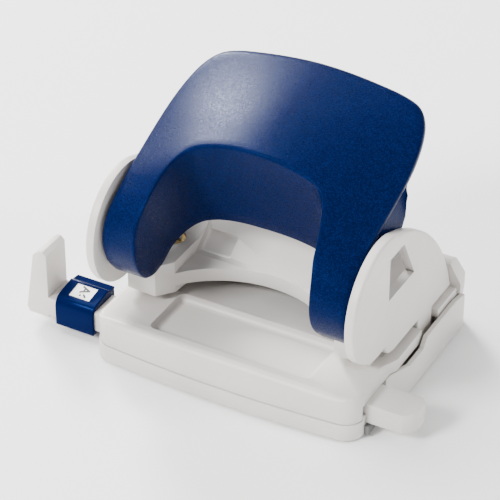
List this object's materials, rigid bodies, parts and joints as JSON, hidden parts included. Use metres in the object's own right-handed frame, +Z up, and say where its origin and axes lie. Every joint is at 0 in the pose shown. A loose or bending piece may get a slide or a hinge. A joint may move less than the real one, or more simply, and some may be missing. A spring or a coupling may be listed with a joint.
{
  "type": "two-hole paper punch",
  "caption": "Desktop paper punch: arched metallic blue sheet lever between two round side plates, pale base with chip tray and a sliding format rail with an upright stop.",
  "frame": {"origin": "on the resting plane under the line of the hole centres, midway between the two holes", "axes": "+X along the hole line to the user's right, +Y to the rear, +Z up"},
  "size_m": [0.151, 0.0866, 0.0975],
  "materials": {
    "lever_blue": "semi-gloss metallic",
    "housing_white": "fine satin",
    "inner_white": "satin",
    "inner_grey": "satin",
    "zinc_steel": "zinc plated",
    "bright_steel": "ground",
    "spring_steel": "drawn wire",
    "bush_brass": "turned",
    "sleeve_blue": "gloss",
    "clear_lens": "polished",
    "label_white": "printed film",
    "catch_grey": "matte",
    "foot_rubber": "matte"
  },
  "bodies": {
    "base": {"die_plate": "inner_white", "punch_frame_left": "zinc_steel", "punch_frame_right": "zinc_steel", "guide_bush_left": "bush_brass", "guide_bush_right": "bush_brass", "frame_screws": "bright_steel", "paper_stop": "zinc_steel", "front_cover": "housing_white", "upper_cover": "housing_white", "left_ear": "housing_white", "right_ear": "housing_white", "pivot_pin_left": "bright_steel", "pivot_pin_right": "bright_steel", "pin_clips": "spring_steel", "rail_guide": "inner_grey", "rail_detent_spring": "spring_steel", "indicator_sleeve": "sleeve_blue", "indicator_window": "clear_lens", "tray_hinge_pins": "bright_steel", "return_spring_left": "spring_steel", "return_spring_right": "spring_steel"},
    "lever": {"handle_shell": "lever_blue", "inner_lever": "inner_white", "lever_rivets": "bright_steel"},
    "punch_left": {"punch_left": "bright_steel"},
    "punch_right": {"punch_right": "bright_steel"},
    "rail": {"format_rail": "housing_white", "size_scale": "label_white"},
    "tray": {"chip_tray": "housing_white", "tray_latch": "catch_grey", "rubber_feet": "foot_rubber"}
  },
  "joints": [
    {"name": "lever_hinge", "type": "hinge", "parent": "base", "child": "lever", "pos_m": [0, -0.019, 0.0465], "axis": [-1, 0, 0], "range_deg": [0, 27], "stiffness_Nm_per_rad": 0.6, "springref_deg": -17.19},
    {"name": "punch_left_slide", "type": "slide", "parent": "base", "child": "punch_left", "axis": [0, 0, -1], "range_m": [0, 0.0096], "deforming": ["return_spring_left"]},
    {"name": "punch_right_slide", "type": "slide", "parent": "base", "child": "punch_right", "axis": [0, 0, -1], "range_m": [0, 0.0096], "deforming": ["return_spring_right"]},
    {"name": "rail_slide", "type": "slide", "parent": "base", "child": "rail", "axis": [-1, 0, 0], "range_m": [0, 0.0745]},
    {"name": "tray_hinge", "type": "hinge", "parent": "base", "child": "tray", "pos_m": [0, 0.0435, 0.012], "axis": [1, 0, 0], "range_deg": [0, 60]}
  ],
  "couplings": [
    {"joint": "punch_left_slide", "follows": "lever_hinge", "m_per_rad": 0.02},
    {"joint": "punch_right_slide", "follows": "lever_hinge", "m_per_rad": 0.02}
  ]
}
